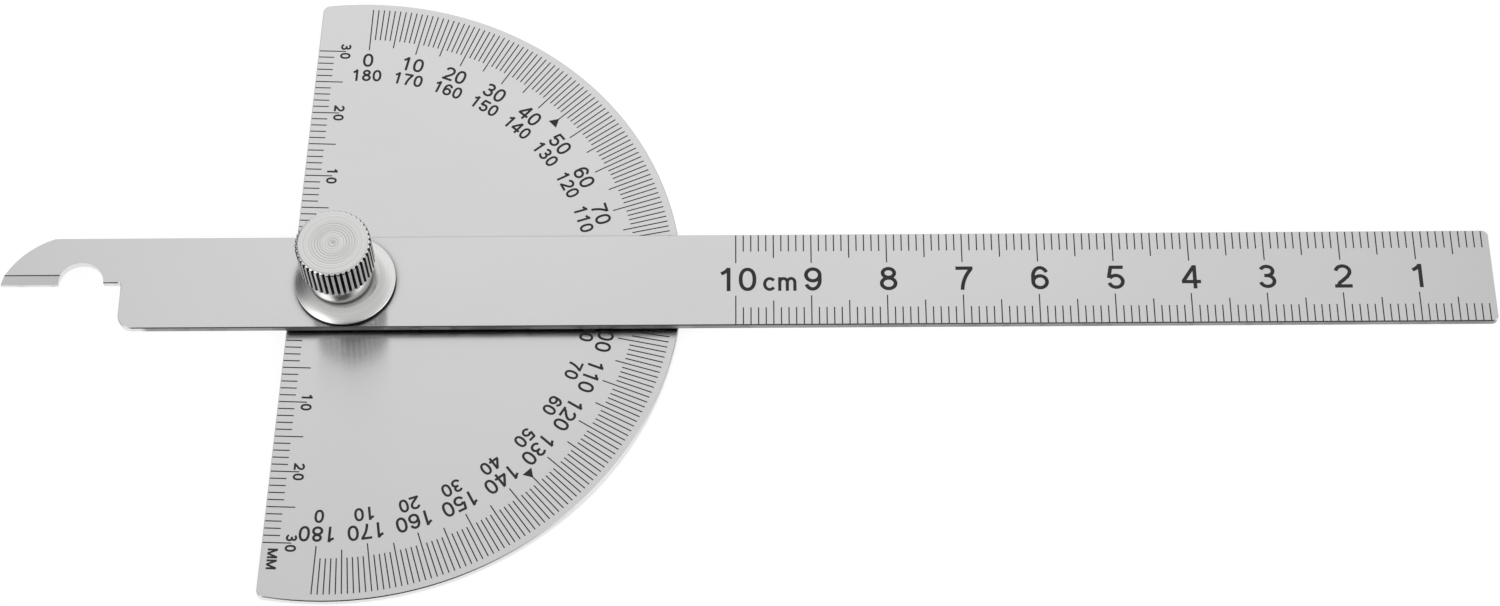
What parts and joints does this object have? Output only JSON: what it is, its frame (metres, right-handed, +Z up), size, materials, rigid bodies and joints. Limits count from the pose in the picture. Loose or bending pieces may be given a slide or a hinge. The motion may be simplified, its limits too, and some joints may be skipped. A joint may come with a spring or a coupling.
{
  "type": "angle finder",
  "caption": "Half-round steel protractor plate with a pivoting ruler arm, clamped by a knurled thumb nut over a domed washer on a riveted stud.",
  "frame": {"origin": "on the pivot axis, at the plate's underside", "axes": "+X from the plate's straight edge towards its round edge, +Y along the straight edge towards the 0 end of the outer scale, +Z up through the thumb nut"},
  "size_m": [0.1977, 0.09, 0.0132],
  "materials": {
    "plate_steel": "satin, grained along the ruler's direction",
    "stud_steel": "turned, peened flush at the back",
    "arm_steel": "satin, grained along the arm",
    "washer_plating": "bright nickel plate",
    "nut_plating": "bright nickel plate over turned and knurled metal",
    "etched_marks": "dark etched and blackened lines and numerals"
  },
  "bodies": {
    "protractor": {"protractor_plate": "plate_steel", "pivot_stud": "stud_steel"},
    "arm": {"ruler_arm": "arm_steel"},
    "washer": {"domed_washer": "washer_plating"},
    "nut": {"thumb_nut": "nut_plating"}
  },
  "joints": [
    {"name": "arm_swing", "type": "hinge", "parent": "protractor", "child": "arm", "pos_m": [0, 0, 0.0021], "axis": [0, 0, 1], "continuous": true},
    {"name": "nut_turn", "type": "hinge", "parent": "protractor", "child": "washer", "pos_m": [0, 0, 0.0026], "axis": [0, 0, 1], "range_deg": [0, 1080]},
    {"name": "nut_rise", "type": "slide", "parent": "washer", "child": "nut", "axis": [0, 0, 1], "range_m": [0, 0.0021]}
  ],
  "couplings": [
    {"joint": "nut_rise", "follows": "nut_turn", "m_per_rad": 0.00011141}
  ]
}
